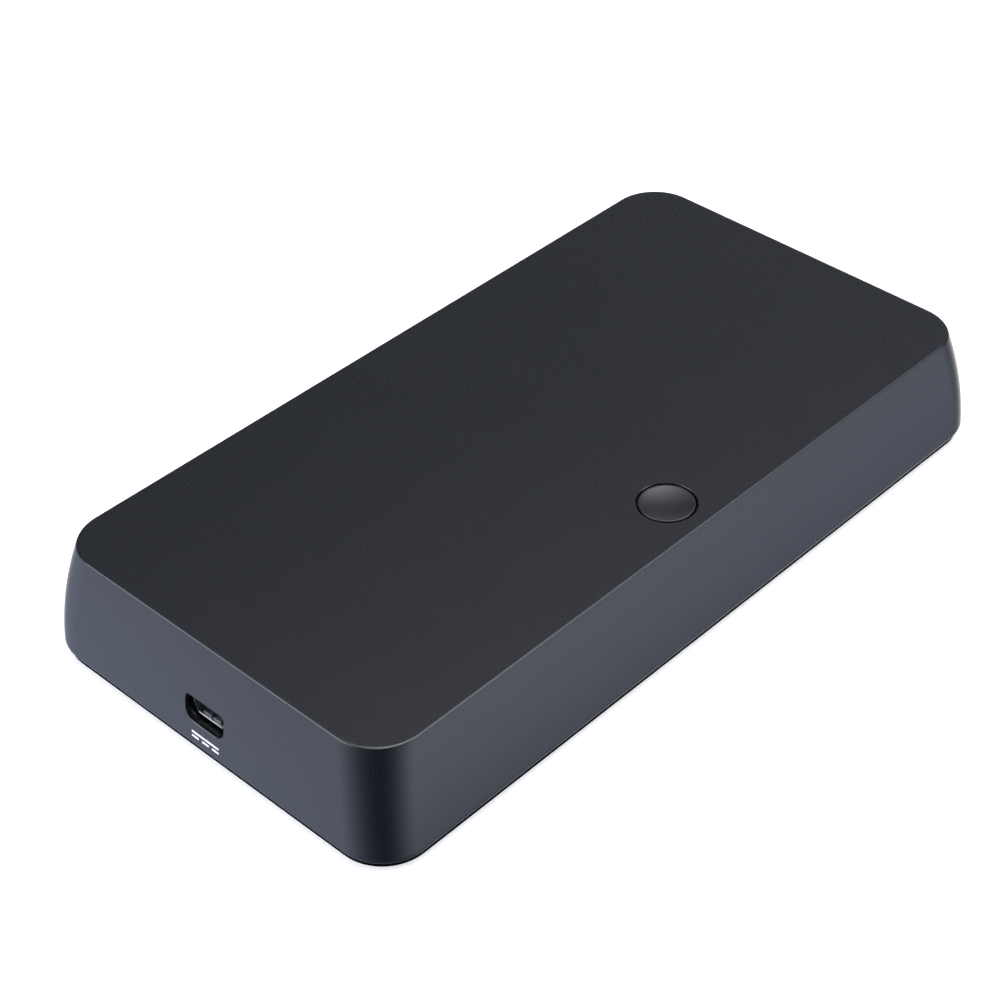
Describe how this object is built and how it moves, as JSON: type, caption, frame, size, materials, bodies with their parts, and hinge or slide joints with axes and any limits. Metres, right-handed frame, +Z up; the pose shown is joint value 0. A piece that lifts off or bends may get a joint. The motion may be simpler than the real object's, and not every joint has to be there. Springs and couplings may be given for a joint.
{
  "type": "video capture box",
  "caption": "Flat flared box that records video: a round record button on top, a power socket at one end, video, storage and microphone sockets behind, and a screwed bottom cover on rubber feet.",
  "frame": {"origin": "on the table plane under the rubber feet, below the centre of the case", "axes": "+X along the length away from the power socket, +Y across towards the video sockets, -Y the plain front side by the button, +Z up"},
  "size_m": [0.156, 0.0816, 0.0225],
  "materials": {
    "shell_plastic": "fine matt texture",
    "cover_plastic": "matt",
    "button_plastic": "satin",
    "screw_steel": "zinc plated",
    "foot_rubber": "matt",
    "board_laminate": "solder mask",
    "black_moulding": "satin",
    "white_moulding": "satin",
    "tinned_steel": "tin plated",
    "contact_metal": "gold flash",
    "led_resin": "clear resin",
    "chip_resin": "moulded resin",
    "pad_silicone": "soft",
    "sink_aluminium": "black anodised",
    "can_aluminium": "plain",
    "ferrite": "sintered",
    "capacitor_ceramic": "sintered"
  },
  "bodies": {
    "case": {"top_shell": "shell_plastic", "bottom_cover": "cover_plastic", "case_screws": "screw_steel", "rubber_feet": "foot_rubber", "circuit_board": "board_laminate", "switch_base": "black_moulding", "switch_plate": "tinned_steel", "switch_dome": "tinned_steel", "switch_legs": "tinned_steel", "status_leds": "led_resin", "power_port_shell": "tinned_steel", "power_port_insulator": "black_moulding", "power_port_contacts": "contact_metal", "video_in_shell": "tinned_steel", "video_in_insulator": "black_moulding", "video_in_contacts": "contact_metal", "video_out_shell": "tinned_steel", "video_out_insulator": "black_moulding", "video_out_contacts": "contact_metal", "storage_port_shell": "tinned_steel", "storage_port_insulator": "white_moulding", "storage_port_contacts": "contact_metal", "mic_jack_body": "black_moulding", "mic_jack_leaves": "tinned_steel", "video_processor": "chip_resin", "thermal_pad": "pad_silicone", "heat_sink": "sink_aluminium", "memory_chips": "chip_resin", "flash_chip": "chip_resin", "video_receiver": "chip_resin", "video_splitter": "chip_resin", "audio_codec": "chip_resin", "crystals": "tinned_steel", "power_inductors": "ferrite", "power_capacitors": "can_aluminium", "voltage_regulators": "chip_resin", "chip_capacitors": "capacitor_ceramic"},
    "button": {"record_button": "button_plastic"},
    "plunger": {"switch_plunger": "black_moulding"}
  },
  "joints": [
    {"name": "record_press", "type": "slide", "parent": "case", "child": "button", "axis": [0, 0, -1], "range_m": [0, 0.00025], "stiffness_N_per_m": 6000},
    {"name": "plunger_press", "type": "slide", "parent": "case", "child": "plunger", "axis": [0, 0, -1], "range_m": [0, 0.00025], "deforming": ["switch_dome"]}
  ],
  "couplings": [
    {"joint": "plunger_press", "follows": "record_press", "ratio": 1}
  ]
}
